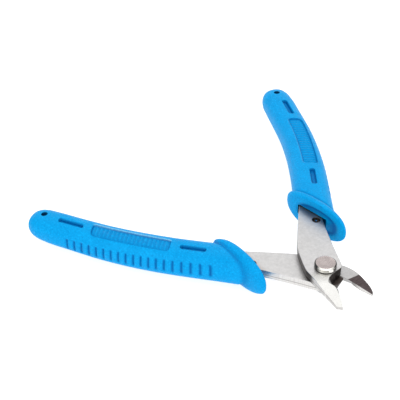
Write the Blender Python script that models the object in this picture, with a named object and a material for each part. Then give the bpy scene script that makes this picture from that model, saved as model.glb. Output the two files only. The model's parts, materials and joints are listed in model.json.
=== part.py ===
"""Flush cutter for electronics work: two stamped blades on one pivot, a wire return spring and two
moulded grips. Metres, +Z up. The pivot axis is vertical, the jaws point to +X, the handles to -X,
and the tool lies on the plane z = 0 with its jaws open."""

import math

import bmesh
import bpy
import numpy as np

MM = 0.001

# Frame
PIVOT_X = 37.82         # pivot axis, so that the footprint is centred on the origin
OPEN_HALF_ANGLE = 37.5  # each handle from the -X axis, jaws open
SEGMENTS_ROUND = 48

# Blades (distances along an arm from the pivot, and outwards from its axis)
PLATE = 3.3
PLATE_GAP = 0.15
LOWER_PLATE_Z = 5.55
UPPER_PLATE_Z = LOWER_PLATE_Z + PLATE + PLATE_GAP
BORE_R = 2.87
SPRING_HOLE_S = 26.2
SPRING_HOLE_T = -0.2
SPRING_HOLE_R = 1.45
CUT_LINE_OFFSET = 3.4   # the line both edges meet on passes this far from the pivot
TANG_END = 94.0
JAW_BEVEL_LINE = (-6.4, -1.0, 4.0)     # where the thinning starts, and its direction of fall in degrees
JAW_BEVEL_SLOPE = 0.17
SHEAR_FACE_LINE = (-10.9, -1.3, 46.0)
SHEAR_FACE_SLOPE = 0.036
EDGE_KNEE = 8.6                        # a point of the cutting edge, ahead of the pivot

# (along, outwards) of the blade's edges, from the grip to the jaw
ARM_INNER = ((47.0, -4.2), (34.7, -5.6), (26.9, -6.8), (19.0, -7.9), (11.2, -8.7), (4.5, -8.1),
             (-1.1, -7.1))
ARM_OUTER = ((-0.9, 5.4), (1.0, 5.9), (3.4, 5.6), (9.0, 4.6), (13.4, 3.9), (19.6, 3.0),
             (26.9, 2.2), (33.6, 1.9), (47.0, 2.8))
LOWER_JAW_BACK = ((-3.6, -6.5), (-6.8, -5.7), (-9.7, -4.3), (-12.3, -2.1), (-14.6, 0.6),
                  (-16.6, 3.3), (-17.7, 5.6))
UPPER_JAW_BACK = ((-3.6, -6.0), (-8.4, -3.6), (-13.8, -0.8), (-18.7, 1.7))
LOWER_TIP = (-17.9, 7.0)
UPPER_TIP = (-19.2, 3.9)
LOWER_THROAT = ((-6.9, 0.6), (-6.5, 2.6), (-5.5, 4.4), (-3.4, 5.5))
UPPER_THROAT = ((-7.2, 2.0), (-5.6, 2.2), (-3.0, 3.9))

# Pivot
SHANK_R = 2.8
HEAD_R = 4.0
HEAD_H = 1.85
HEAD_GAP = 0.1
THREAD_R = 2.0
SHOULDER_BELOW = 1.25   # the shoulder carries on under the lower blade as the spring's seat
NUT_BORE_R = 2.08
NUT_HEX_R = 3.7
NUT_H = 1.1
WASHER_R = 3.9
WASHER_H = 0.5
STACK_GAP = 0.1

# Return spring
WIRE_R = 0.5
COIL_R = 3.42
SPRING_BELOW_PLATE = 0.62
HOOK_BELOW_TOP = 0.35
HOOK_BEND = 1.3
SPRING_Z = LOWER_PLATE_Z - SPRING_BELOW_PLATE

# Grips: (along, outwards, half width, half height, slant in degrees) of each cross-section
GRIP_ROUNDNESS = 2.35
GRIP_MID_ABOVE_PLATE = PLATE / 2
GRIP_STATIONS = (
    (28.5, 0.4, 7.5, 5.3, 47.0),
    (28.8, 0.4, 8.6, 6.3, 47.0),
    (29.5, 0.4, 9.4, 6.95, 47.0),
    (30.8, 0.4, 9.7, 7.2, 47.0),
    (32.2, 0.4, 9.4, 7.0, 47.0),
    (33.2, 0.35, 8.5, 6.5, 46.5),
    (34.0, 0.3, 7.3, 5.8, 46.0),
    (34.8, 0.25, 6.95, 5.6, 45.0),
    (35.8, 0.2, 7.1, 5.8, 43.5),
    (37.0, 0.1, 7.1, 5.9, 41.0),
    (40.0, 0.1, 7.05, 5.9, 34.0),
    (47.0, 0.2, 7.0, 5.9, 17.0),
    (56.0, 0.2, 6.9, 5.9, 2.0),
    (68.0, -0.4, 6.6, 6.0, -3.0),
    (80.0, -1.8, 6.3, 5.9, -7.0),
    (93.5, -4.5, 6.0, 5.6, -13.0),
    (102.4, -6.5, 5.8, 5.35, -16.0),
    (106.4, -7.6, 5.4, 4.95, -17.0),
    (109.0, -8.4, 4.4, 4.1, -18.0),
    (110.4, -8.8, 3.1, 2.9, -18.0),
    (111.1, -9.0, 1.4, 1.35, -18.0),
)
LIP_BOW = 0.8            # how far the lip swells towards the pivot in its middle
LIP_BOW_SPAN = (28.5, 29.5, 31.0, 44.0)
POCKET_CLEARANCE = 0.12
MOUTH_CLEARANCE = 0.35  # the pocket opens wider at the lip, widest on the outer side
MOUTH_OUTER_CLEARANCE = 1.1
MOUTH_START = 14.0
MOUTH_ENDS = (27.7, 37.9)
MARK_OFFSET = 0.8
SLOT_NEAR = (42.8, 52.2)
PANEL = (56.0, 85.8)
SLOT_FAR = (89.4, 99.2)
SLOT_HALF_WIDTH = 1.0
PANEL_HALF_WIDTH = 2.7
SLOT_DEPTH = 0.6
PANEL_DEPTH = 0.45
END_HOLE_S = 105.6
END_HOLE_R = 1.0
END_HOLE_DEPTH = 1.6
GROOVES = 19
GROOVE_FIRST = 43.2
GROOVE_PITCH = 2.78
GROOVE_WIDTH = 0.6
GROOVE_DEPTH = 0.4
GROOVE_Z = (-3.6, 2.4)


def clear_scene():
    for thing in list(bpy.data.objects):
        bpy.data.objects.remove(thing, do_unlink=True)


def make_material(name, color, metallic, roughness):
    material = bpy.data.materials.new(name)
    material.use_nodes = True
    shader = material.node_tree.nodes["Principled BSDF"]
    shader.inputs["Base Color"].default_value = (*color, 1.0)
    shader.inputs["Metallic"].default_value = metallic
    shader.inputs["Roughness"].default_value = roughness
    return material


def make_collection(name):
    collection = bpy.data.collections.new(name)
    bpy.context.scene.collection.children.link(collection)
    return collection


def add_object(name, mesh, collection, material=None):
    """The object stands on the pivot axis, so its origin is the hinge."""
    thing = bpy.data.objects.new(name, mesh)
    collection.objects.link(thing)
    thing.location = (PIVOT_X * MM, 0, 0)
    if material:
        mesh.materials.append(material)
    return thing


def as_cutter(thing):
    thing.hide_render = True
    thing.display_type = "WIRE"
    return thing


def cut(target, cutter, name):
    step = target.modifiers.new(name, "BOOLEAN")
    step.operation = "DIFFERENCE"
    step.solver = "EXACT"
    step.object = cutter


def side_point(side, along, out, z):
    """A point of an arm, in metres from the pivot; side is +1 for the upper blade's, -1 for the lower's."""
    angle = math.radians(180 - side * OPEN_HALF_ANGLE)
    x = along * math.cos(angle) + side * out * math.sin(angle)
    y = along * math.sin(angle) - side * out * math.cos(angle)
    return (x * MM, y * MM, z * MM)


def smooth_through(points, count):
    """Points of a smooth curve through the given ones, count steps to each gap."""
    known = np.array(points, float)
    ends = np.vstack([2 * known[0] - known[1], known, 2 * known[-1] - known[-2]])
    found = []
    for i in range(len(known) - 1):
        a, b, c, d = ends[i:i + 4]
        for k in range(count):
            u = k / count
            found.append(0.5 * (2 * b + (c - a) * u + (2 * a - 5 * b + 4 * c - d) * u * u
                                + (3 * b - a - 3 * c + d) * u ** 3))
    found.append(known[-1])
    return [tuple(p) for p in found]


def station_at(along):
    """Cross-section of the grip at this distance: outwards, half width, half height, slant."""
    known = np.array(GRIP_STATIONS)
    s = known[:, 0]
    slopes = np.gradient(known[:, 1:], s, axis=0)
    i = int(np.clip(np.searchsorted(s, along) - 1, 0, len(s) - 2))
    h = s[i + 1] - s[i]
    u = (along - s[i]) / h
    value = ((2 * u ** 3 - 3 * u ** 2 + 1) * known[i, 1:] + (u ** 3 - 2 * u ** 2 + u) * h * slopes[i]
             + (3 * u ** 2 - 2 * u ** 3) * known[i + 1, 1:] + (u ** 3 - u ** 2) * h * slopes[i + 1])
    return value


def grip_mid_z(side):
    return (UPPER_PLATE_Z if side > 0 else LOWER_PLATE_Z) + GRIP_MID_ABOVE_PLATE


def lip_bow(along):
    """How far the middle of the grip's cross-section bows towards the pivot at this distance."""
    start, full, last, end = LIP_BOW_SPAN
    rise = min(max((along - start) / (full - start), 0), 1)
    fall = min(max((end - along) / (end - last), 0), 1)
    return LIP_BOW * rise * fall


def ring_point(along, turn):
    """(along, outwards, up) on the grip's skin, turn in radians from the outer side."""
    out, half_width, half_height, slant = station_at(along)
    c, s = math.cos(turn), math.sin(turn)
    power = 2 / GRIP_ROUNDNESS
    across = half_width * math.copysign(abs(c) ** power, c)
    up = half_height * math.copysign(abs(s) ** power, s)
    bow = lip_bow(along) * (1 - (across / half_width) ** 2)
    return along - bow - across * math.tan(math.radians(slant)), out + across, up


def skin_height(along, offset):
    """Height of the grip's skin above its middle, offset outwards from its centre line."""
    _, half_width, half_height, _ = station_at(along)
    share = min(abs(offset) / half_width, 0.98)
    return half_height * (1 - share ** GRIP_ROUNDNESS) ** (1 / GRIP_ROUNDNESS)


def loft(name, rings, collection, material=None):
    """A closed body through rings of equal size, flat at both ends."""
    body = bmesh.new()
    rows = [[body.verts.new(point) for point in ring] for ring in rings]
    count = len(rows[0])
    for first, second in zip(rows, rows[1:]):
        for k in range(count):
            j = (k + 1) % count
            body.faces.new((first[k], first[j], second[j], second[k]))
    body.faces.new(rows[0][::-1])
    body.faces.new(rows[-1])
    bmesh.ops.recalc_face_normals(body, faces=body.faces[:])
    mesh = bpy.data.meshes.new(name)
    body.to_mesh(mesh)
    body.free()
    return add_object(name, mesh, collection, material)


def prism(name, outline, side, low, high, collection, material=None):
    """The outline (along, outwards) as a plate from low to high."""
    return loft(name, [[side_point(side, s, t, z) for s, t in outline] for z in (low, high)],
                collection, material)


def turned(name, profile, collection, material=None, segments=SEGMENTS_ROUND):
    """A solid of revolution on the pivot axis from (radius, z) points, both ends on the axis."""
    rings = []
    for radius, z in profile:
        turns = [2 * math.pi * k / segments for k in range(segments)]
        rings.append([(radius * MM * math.cos(a), radius * MM * math.sin(a), z * MM) for a in turns])
    return loft(name, rings, collection, material)


def round_cutter(name, side, along, out, radius, low, high, collection, segments=32):
    turns = [2 * math.pi * k / segments for k in range(segments)]
    outline = [(along + radius * math.cos(a), out + radius * math.sin(a)) for a in turns]
    return as_cutter(prism(name, outline, side, low, high, collection))


def facet_cutter(name, side, line, slope, top, sign, collection):
    """A wedge beyond a line (along, outwards, direction of fall): what a grinding wheel takes off."""
    along, out, fall = line
    fall = math.radians(fall)
    ahead = (-math.cos(fall), math.sin(fall))
    aside = (math.sin(fall), math.cos(fall))
    reach = 40.0
    rings = []
    for distance in (0.0, reach):
        surface = top - sign * slope * distance
        far = top + sign * 8.0
        ring = []
        for across, z in ((-reach, surface), (reach, surface), (reach, far), (-reach, far)):
            s = along + ahead[0] * distance + aside[0] * across
            t = out + ahead[1] * distance + aside[1] * across
            ring.append(side_point(side, s, t, z))
        rings.append(ring)
    return as_cutter(loft(name, rings, collection))


def tang_outline(clearance):
    """The part of a blade inside its grip: outer side out and inner side back."""
    outer = []
    inner = []
    for along in np.linspace(47.0, TANG_END - 3.0, 9):
        out = station_at(along)[0]
        share = (along - 47.0) / (TANG_END - 47.0)
        half = 3.5 - 0.9 * share + clearance
        shift = -0.4 * (1 - share)
        outer.append((along, out + shift + half))
        inner.append((along, out + shift - half))
    end = station_at(TANG_END)[0]
    nose = [(TANG_END - 0.9 + clearance, end + 1.7), (TANG_END + clearance, end),
            (TANG_END - 0.9 + clearance, end - 1.7)]
    return outer, nose, inner[::-1]


def blade_outline(side):
    """(along, outwards) round a blade, from the pivot down its outer edge and back up to the jaw."""
    back = UPPER_JAW_BACK if side > 0 else LOWER_JAW_BACK
    tip = UPPER_TIP if side > 0 else LOWER_TIP
    throat = UPPER_THROAT if side > 0 else LOWER_THROAT
    outer, nose, inner = tang_outline(0.0)
    outline = smooth_through(ARM_OUTER[:-1], 3)
    outline += outer + nose + inner
    outline += smooth_through(ARM_INNER[1:] + back, 3)
    outline += [tip, edge_point(side, EDGE_KNEE), *throat]
    return outline


def edge_point(side, along):
    """Where the cutting edge is at this distance ahead of the pivot."""
    tip = UPPER_TIP if side > 0 else LOWER_TIP
    radius = math.hypot(*tip)
    at = math.atan2(tip[1], -tip[0])
    turn = math.asin(CUT_LINE_OFFSET / radius)
    lean = at - turn if side > 0 else at + turn
    step = (-tip[0] - along) / math.cos(lean)
    return (-along, tip[1] - step * math.sin(lean))


def make_blade(name, side, collection, cutters, material):
    low = UPPER_PLATE_Z if side > 0 else LOWER_PLATE_Z
    high = low + PLATE
    blade = prism(name, blade_outline(side), side, low, high, collection, material)
    bore = round_cutter(name + "_bore_cut", side, 0, 0, BORE_R, low - 2, high + 2, cutters,
                        SEGMENTS_ROUND)
    hole = round_cutter(name + "_hole_cut", side, SPRING_HOLE_S, SPRING_HOLE_T, SPRING_HOLE_R,
                        low - 2, high + 2, cutters)
    cut(blade, bore, "bore")
    cut(blade, hole, "spring_hole")
    away = high if side > 0 else low
    bevel = facet_cutter(name + "_bevel_cut", side, JAW_BEVEL_LINE, JAW_BEVEL_SLOPE, away, side,
                         cutters)
    cut(blade, bevel, "jaw_bevel")
    if side < 0:
        face = facet_cutter(name + "_face_cut", side, SHEAR_FACE_LINE, SHEAR_FACE_SLOPE, high, 1,
                            cutters)
        cut(blade, face, "shear_face")
    return blade


def make_pivot_bolt(collection, cutters, material):
    top = UPPER_PLATE_Z + PLATE + HEAD_GAP
    shoulder = LOWER_PLATE_Z - SHOULDER_BELOW
    end = shoulder - STACK_GAP - WASHER_H - STACK_GAP - NUT_H - 0.2
    bolt = turned("pivot_bolt", ((HEAD_R - 0.3, top + HEAD_H), (HEAD_R, top + HEAD_H - 0.3), (HEAD_R, top),
                                 (SHANK_R, top), (SHANK_R, shoulder), (THREAD_R, shoulder),
                                 (THREAD_R, end + 0.3), (THREAD_R - 0.3, end)), collection, material)
    slot = [side_point(-1, s, t, 0) for s, t in ((-4, -0.3), (4, -0.3), (4, 0.3), (-4, 0.3))]
    rings = [[(x, y, z * MM) for x, y, _ in slot] for z in (end - 1, end + 0.7)]
    cut(bolt, as_cutter(loft("pivot_bolt_slot_cut", rings, cutters)), "driver_slot")
    return bolt


def make_pivot_washer(collection, cutters, material):
    top = LOWER_PLATE_Z - SHOULDER_BELOW - STACK_GAP
    washer = turned("pivot_washer", ((WASHER_R, top - WASHER_H), (WASHER_R, top)), collection, material)
    bore = turned("pivot_washer_bore_cut", ((THREAD_R + 0.12, -2), (THREAD_R + 0.12, 9)), cutters)
    cut(washer, as_cutter(bore), "bore")
    return washer


def make_pivot_nut(collection, cutters, material):
    top = LOWER_PLATE_Z - SHOULDER_BELOW - STACK_GAP - WASHER_H - STACK_GAP
    nut = turned("pivot_nut", ((NUT_HEX_R - 0.35, top - NUT_H), (NUT_HEX_R, top - NUT_H + 0.2),
                               (NUT_HEX_R, top)), collection, material)
    bore = turned("pivot_nut_bore_cut", ((NUT_BORE_R, -2), (NUT_BORE_R, 8)), cutters)
    cut(nut, as_cutter(bore), "thread")
    outer = turned("pivot_nut_hex_outer", ((NUT_HEX_R + 5, 0), (NUT_HEX_R + 5, top + 0.2)), cutters,
                   segments=24)
    inner = turned("pivot_nut_hex_inner", ((NUT_HEX_R, -2), (NUT_HEX_R, 8)), cutters, segments=6)
    cut(outer, as_cutter(inner), "hexagon")
    cut(nut, as_cutter(outer), "flats")
    return nut


def spring_path():
    """The wire's centre line, in metres from the pivot: upper hook, bend round the shoulder, lower hook."""
    reach = math.hypot(SPRING_HOLE_S, SPRING_HOLE_T)
    lean = math.acos(COIL_R / reach)
    start = math.radians(180 - OPEN_HALF_ANGLE) - lean
    bend = HOOK_BEND
    hooks = []
    for side, plate in ((1, UPPER_PLATE_Z), (-1, LOWER_PLATE_Z)):
        top = plate + PLATE - HOOK_BELOW_TOP
        hole = np.array(side_point(side, SPRING_HOLE_S, SPRING_HOLE_T, 0)) / MM
        touch = np.array((COIL_R * math.cos(start), side * COIL_R * math.sin(start), 0.0))
        towards = (touch - hole) / np.linalg.norm(touch - hole)
        hook = [hole + np.array((0, 0, top))]
        for k in range(5):
            a = math.pi / 2 * k / 4
            hook.append(hole + towards * bend * (1 - math.cos(a))
                        + np.array((0, 0, SPRING_Z + bend * (1 - math.sin(a)))))
        hooks.append(hook)
    path = hooks[0]
    for k in range(15):
        a = start * (1 - k / 7)
        path.append(np.array((COIL_R * math.cos(a), COIL_R * math.sin(a), SPRING_Z)))
    path += hooks[1][::-1]
    return [tuple(p * MM) for p in path]


def make_return_spring(collection, material):
    wire = bpy.data.curves.new("return_spring", "CURVE")
    wire.dimensions = "3D"
    wire.bevel_depth = WIRE_R * MM
    wire.bevel_resolution = 2
    wire.use_fill_caps = True
    path = spring_path()
    line = wire.splines.new("POLY")
    line.points.add(len(path) - 1)
    for point, place in zip(line.points, path):
        point.co = (*place, 1)
    return add_object("return_spring", wire, collection, material)


def mark_cutter(name, side, span, half_width, depth, face, collection):
    """A cutter for a recess of even depth along a grip's face; face is +1 on top, -1 below."""
    rings = []
    count = 2 + int((span[1] - span[0]) / 3)
    middle = grip_mid_z(side)
    for along in np.linspace(span[0], span[1], count):
        out = station_at(along)[0]
        offsets = [MARK_OFFSET + half_width * f for f in (-1, -0.5, 0, 0.5, 1)]
        floor = [(along, out + o, middle + face * (skin_height(along, o) - depth)) for o in offsets]
        roof = [(along, out + o, middle + face * 9.0) for o in (offsets[-1], offsets[0])]
        rings.append([side_point(side, *p) for p in floor + roof])
    return as_cutter(loft(name, rings, collection))


def groove_cutter(name, side, collection):
    """One cutter holding the row of finger grooves down the grip's outer side."""
    body = bmesh.new()
    middle = grip_mid_z(side)
    for k in range(GROOVES):
        along = GROOVE_FIRST + GROOVE_PITCH * k
        out, half_width, _, slant = station_at(along)
        corners = []
        lean = math.tan(math.radians(slant))
        for z in GROOVE_Z:
            for ds, dt in ((-1, -GROOVE_DEPTH), (1, -GROOVE_DEPTH), (1, 1.5), (-1, 1.5)):
                t = out + half_width + dt
                s = along + ds * GROOVE_WIDTH / 2 - (half_width + dt) * lean
                corners.append(body.verts.new(side_point(side, s, t, middle + z)))
        for face in ((0, 1, 2, 3), (7, 6, 5, 4), (0, 4, 5, 1), (1, 5, 6, 2), (2, 6, 7, 3), (3, 7, 4, 0)):
            body.faces.new([corners[i] for i in face])
    bmesh.ops.recalc_face_normals(body, faces=body.faces[:])
    mesh = bpy.data.meshes.new(name)
    body.to_mesh(mesh)
    body.free()
    return as_cutter(add_object(name, mesh, collection))


def pocket_cutter(name, side, collection):
    """The cavity that takes the blade's tang, open at the lip."""
    outer, nose, inner = tang_outline(POCKET_CLEARANCE)
    grow = POCKET_CLEARANCE
    mouth_outer = [(s, t + grow) for s, t in smooth_through(ARM_OUTER[4:-1], 3)]
    mouth_inner = [(s, t - grow) for s, t in smooth_through(ARM_INNER[1:4], 3)]
    outline = mouth_outer + outer + nose + inner + mouth_inner
    low = UPPER_PLATE_Z if side > 0 else LOWER_PLATE_Z
    return as_cutter(prism(name, outline, side, low - grow, low + PLATE + grow, collection))


def mouth_cutter(name, side, collection):
    """The wider opening of the pocket, behind the lip's slanting front."""
    inner_edge = ARM_INNER[::-1]
    outer = [(s, np.interp(s, *zip(*ARM_OUTER)) + MOUTH_OUTER_CLEARANCE)
             for s in np.linspace(MOUTH_START, MOUTH_ENDS[0], 5)]
    inner = [(s, np.interp(s, *zip(*inner_edge)) - MOUTH_CLEARANCE)
             for s in np.linspace(MOUTH_ENDS[1], MOUTH_START, 6)]
    low = UPPER_PLATE_Z if side > 0 else LOWER_PLATE_Z
    return as_cutter(prism(name, outer + inner, side, low - MOUTH_CLEARANCE,
                           low + PLATE + MOUTH_CLEARANCE, collection))


def make_grip(name, side, collection, cutters, material):
    middle = grip_mid_z(side)
    stops = [row[0] for row in GRIP_STATIONS]
    stops += [38.6, 43.5, 51.5, 62.0, 74.0, 87.0, 99.0, 105.0, 108.6]
    rings = []
    for along in sorted(stops):
        ring = []
        for k in range(32):
            s, t, z = ring_point(along, 2 * math.pi * k / 32)
            ring.append(side_point(side, s, t, middle + z))
        rings.append(ring)
    grip = loft(name, rings, collection, material)
    cut(grip, pocket_cutter(name + "_pocket_cut", side, cutters), "pocket")
    cut(grip, mouth_cutter(name + "_mouth_cut", side, cutters), "mouth")
    for face, word in ((1, "top"), (-1, "under")):
        marks = ((SLOT_NEAR, SLOT_HALF_WIDTH, SLOT_DEPTH), (PANEL, PANEL_HALF_WIDTH, PANEL_DEPTH),
                 (SLOT_FAR, SLOT_HALF_WIDTH, SLOT_DEPTH))
        for number, (span, half_width, depth) in enumerate(marks):
            label = f"{name}_{word}_mark_{number}"
            cut(grip, mark_cutter(label, side, span, half_width, depth, face, cutters), label)
    cut(grip, groove_cutter(name + "_groove_cut", side, cutters), "finger_grooves")
    height = skin_height(END_HOLE_S, 0)
    out = station_at(END_HOLE_S)[0]
    hole = round_cutter(name + "_end_hole_cut", side, END_HOLE_S, out, END_HOLE_R,
                        middle + height - END_HOLE_DEPTH, middle + 9, cutters, 16)
    cut(grip, hole, "end_hole")
    return grip


def build():
    clear_scene()
    parts = make_collection("flush_cutter")
    cutters = make_collection("cutters")
    cutters.hide_render = True
    steel_upper = make_material("upper_blade_steel", (0.72, 0.72, 0.73), 1.0, 0.42)
    steel_lower = make_material("lower_blade_steel", (0.7, 0.7, 0.71), 1.0, 0.42)
    steel_bolt = make_material("pivot_bolt_steel", (0.62, 0.59, 0.57), 1.0, 0.3)
    steel_nut = make_material("pivot_nut_steel", (0.6, 0.6, 0.6), 1.0, 0.35)
    steel_washer = make_material("pivot_washer_steel", (0.55, 0.55, 0.56), 1.0, 0.4)
    steel_wire = make_material("spring_wire_steel", (0.66, 0.66, 0.67), 1.0, 0.25)
    blue_upper = make_material("upper_grip_plastic", (0.01, 0.3, 0.75), 0.0, 0.45)
    blue_lower = make_material("lower_grip_plastic", (0.01, 0.3, 0.75), 0.0, 0.45)
    make_blade("upper_blade", 1, parts, cutters, steel_upper)
    make_blade("lower_blade", -1, parts, cutters, steel_lower)
    make_pivot_bolt(parts, cutters, steel_bolt)
    make_pivot_washer(parts, cutters, steel_washer)
    make_pivot_nut(parts, cutters, steel_nut)
    make_return_spring(parts, steel_wire)
    make_grip("upper_grip", 1, parts, cutters, blue_upper)
    make_grip("lower_grip", -1, parts, cutters, blue_lower)


build()
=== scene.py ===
"""The looks of the flush cutter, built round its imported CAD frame. Lengths are millimetres until a mesh
is made. Along an arm, "along" is the distance from the pivot towards the handle and "out" the distance
outwards from the arm's axis; side is +1 for the upper blade's half and -1 for the lower's."""

import json
import math

import bmesh
import bpy
import numpy as np
from mathutils import Matrix, Vector


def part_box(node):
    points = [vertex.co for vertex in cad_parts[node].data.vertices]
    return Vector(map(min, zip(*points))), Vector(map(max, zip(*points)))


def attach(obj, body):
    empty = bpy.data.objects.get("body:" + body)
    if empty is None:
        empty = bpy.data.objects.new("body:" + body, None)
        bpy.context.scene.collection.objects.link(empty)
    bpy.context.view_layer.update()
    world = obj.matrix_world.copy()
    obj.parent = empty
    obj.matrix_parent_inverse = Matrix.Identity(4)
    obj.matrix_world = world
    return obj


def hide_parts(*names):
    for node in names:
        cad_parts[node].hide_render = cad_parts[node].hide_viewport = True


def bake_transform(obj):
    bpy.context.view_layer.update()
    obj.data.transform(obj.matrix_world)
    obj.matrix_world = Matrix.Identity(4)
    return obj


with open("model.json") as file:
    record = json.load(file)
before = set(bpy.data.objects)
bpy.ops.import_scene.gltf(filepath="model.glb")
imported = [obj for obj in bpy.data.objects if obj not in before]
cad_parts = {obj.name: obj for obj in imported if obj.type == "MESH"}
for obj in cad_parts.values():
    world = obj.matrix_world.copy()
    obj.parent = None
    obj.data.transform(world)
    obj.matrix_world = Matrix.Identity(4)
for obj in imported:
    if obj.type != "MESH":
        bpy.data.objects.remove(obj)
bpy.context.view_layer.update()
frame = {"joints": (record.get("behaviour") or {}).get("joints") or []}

MM = 0.001

# Places that the frame gives
PIVOT = Vector(frame["joints"][0]["pos_m"])
PLATE = {1: [corner.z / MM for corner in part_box("upper_blade")],
         -1: [corner.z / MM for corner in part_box("lower_blade")]}
HEAD_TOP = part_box("pivot_bolt")[1].z / MM
BOLT_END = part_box("pivot_bolt")[0].z / MM
WASHER = [corner.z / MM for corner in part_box("pivot_washer")]
NUT = [corner.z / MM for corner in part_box("pivot_nut")]
GRIP_MIDDLE = {1: sum(c.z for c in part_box("upper_grip")) / 2 / MM,
               -1: sum(c.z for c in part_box("lower_grip")) / 2 / MM}
OPEN_HALF_ANGLE = 37.5
WORD = {1: "upper", -1: "lower"}

# Blades: outlines are (along, out) points
ARM_INNER = ((47.0, -4.2), (34.7, -5.6), (26.9, -6.8), (19.0, -7.9), (11.2, -8.7), (4.5, -8.1),
             (-1.1, -7.1))
ARM_OUTER = ((-0.9, 5.4), (1.0, 5.9), (3.4, 5.6), (9.0, 4.6), (13.4, 3.9), (19.6, 3.0),
             (26.9, 2.2), (33.6, 1.9), (47.0, 2.8))
JAW_BACK = {1: ((-3.6, -6.0), (-8.4, -3.6), (-13.8, -0.8), (-18.7, 1.7)),
            -1: ((-3.6, -6.5), (-6.8, -5.7), (-9.7, -4.3), (-12.3, -2.1), (-14.6, 0.6),
                 (-16.6, 3.3), (-17.7, 5.6))}
TIP = {1: (-19.2, 3.9), -1: (-17.9, 7.0)}
THROAT = {1: ((-7.2, 2.0), (-5.6, 2.2), (-3.0, 3.9)),
          -1: ((-6.9, 0.6), (-6.5, 2.6), (-5.5, 4.4), (-3.4, 5.5))}
EDGE_STEPS = 9
EDGE_LEAN = {1: 2.3, -1: 2.0}   # how far the wall behind each cutting edge leans back at the throat
CUT_LINE_OFFSET = 3.4   # how far from the pivot the two closed edges meet
EDGE_KNEE = 8.6         # how far ahead of the pivot the edges begin
TANG_START = 47.0
TANG_END = 94.0
BORE_R = 2.87
SPRING_HOLE = (26.2, -0.2, 1.45)    # along, out, radius
WALL_TILT = 0.45        # a face whose normal rises less than this is a wall
# Ground faces: (along, out, direction in degrees) of the line where each begins, and how it falls beyond
JAW_BEVEL_LINE = (-6.4, -1.0, 4.0)
JAW_BEVEL_SLOPE = 0.17
# (how far behind the line, share of the slope) of the facets that round the bevel's start
BEVEL_BLEND = ((3.0, 0.15), (2.3, 0.32), (1.6, 0.5), (0.9, 0.7))
SHEAR_FACE_LINE = (-10.9, -1.3, 46.0)
SHEAR_FACE_SLOPE = 0.036
# (inset, height as a share of the plate) of the sheared wall: burr, rough break, shear line, rolled top
WALL_PROFILE = ((0.10, 0.0), (0.03, 0.025), (0.07, 0.06), (0.07, 0.34), (0.0, 0.40), (0.0, 0.89),
                (0.03, 0.94), (0.09, 0.975), (0.22, 1.0))

JAW_BACK_PAINTED_SHADE = 0.22    # painted shade: the upper jaw's back is a little darker than the arms' walls
THROAT_SHADE = (-4.6, 2.8, 2.6, 3.4)    # painted shade in the lower blade's throat corner: where, dark within, clear beyond
THROAT_FAINT_SHADE = (2.8, 3.4)    # a faint painted shade round it: full within, and gone beyond, this many clear radii
LIP_PAINTED_SHADOW = 6.0          # painted shadow of the lip: the plate is darker this close to its grip

# Pivot
SHANK_R = 2.8
THREAD_R = 2.0
THREAD_PITCH = 0.35
THREAD_DEPTH = 0.18
DRIVER_SLOT = (4.0, 0.3, 0.7)   # half length, half width, depth
SHOULDER_END = WASHER[1] + 0.1
HEAD_R = 4.0
HEAD_UNDER = PLATE[1][1] + 0.1
HEAD_RINGS = 9
HEAD_ROLL = 0.6
# painted dark reflection on the head's rim: at this angle round the axis and opposite it
RIM_PAINTED_DARK_SIDES = math.radians(50)
WASHER_R = 3.9
NUT_R = 3.7
NUT_BORE_R = 2.08

# Spring
WIRE_R = 0.5
COIL_R = 3.42           # the bend round the bolt
SPRING_BELOW_PLATE = 0.62
SPRING_Z = PLATE[-1][0] - SPRING_BELOW_PLATE
HOOK_BELOW_TOP = 0.35
HOOK_BEND = 1.3

# Grips: (along, out, half width, half height, slant in degrees) of each cross-section
GRIP_ROUNDNESS = 2.35
GRIP_STATIONS = np.array((
    (28.5, 0.4, 7.5, 5.3, 47.0), (28.8, 0.4, 8.6, 6.3, 47.0), (29.5, 0.4, 9.4, 6.95, 47.0),
    (30.8, 0.4, 9.7, 7.2, 47.0), (32.2, 0.4, 9.4, 7.0, 47.0), (33.2, 0.35, 8.5, 6.5, 46.5),
    (34.0, 0.3, 7.3, 5.8, 46.0), (34.8, 0.25, 6.95, 5.6, 45.0), (35.8, 0.2, 7.1, 5.8, 43.5),
    (37.0, 0.1, 7.1, 5.9, 41.0), (40.0, 0.1, 7.05, 5.9, 34.0), (47.0, 0.2, 7.0, 5.9, 17.0),
    (56.0, 0.2, 6.9, 5.9, 2.0), (68.0, -0.4, 6.6, 6.0, -3.0), (80.0, -1.8, 6.3, 5.9, -7.0),
    (93.5, -4.5, 6.0, 5.6, -13.0), (102.4, -6.5, 5.8, 5.35, -16.0), (106.4, -7.6, 5.4, 4.95, -17.0),
    (109.0, -8.4, 4.4, 4.1, -18.0), (110.4, -8.8, 3.1, 2.9, -18.0), (111.1, -9.0, 1.4, 1.35, -18.0)))
LIP_BOW = 0.8           # how far the lip swells towards the pivot in its middle
LIP_BOW_SPAN = (28.5, 29.5, 31.0, 44.0)     # where the swelling starts, is full, still is, and is gone
LIP_DISH = 0.35         # how deep the lip's front face is hollowed round the blade
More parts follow.
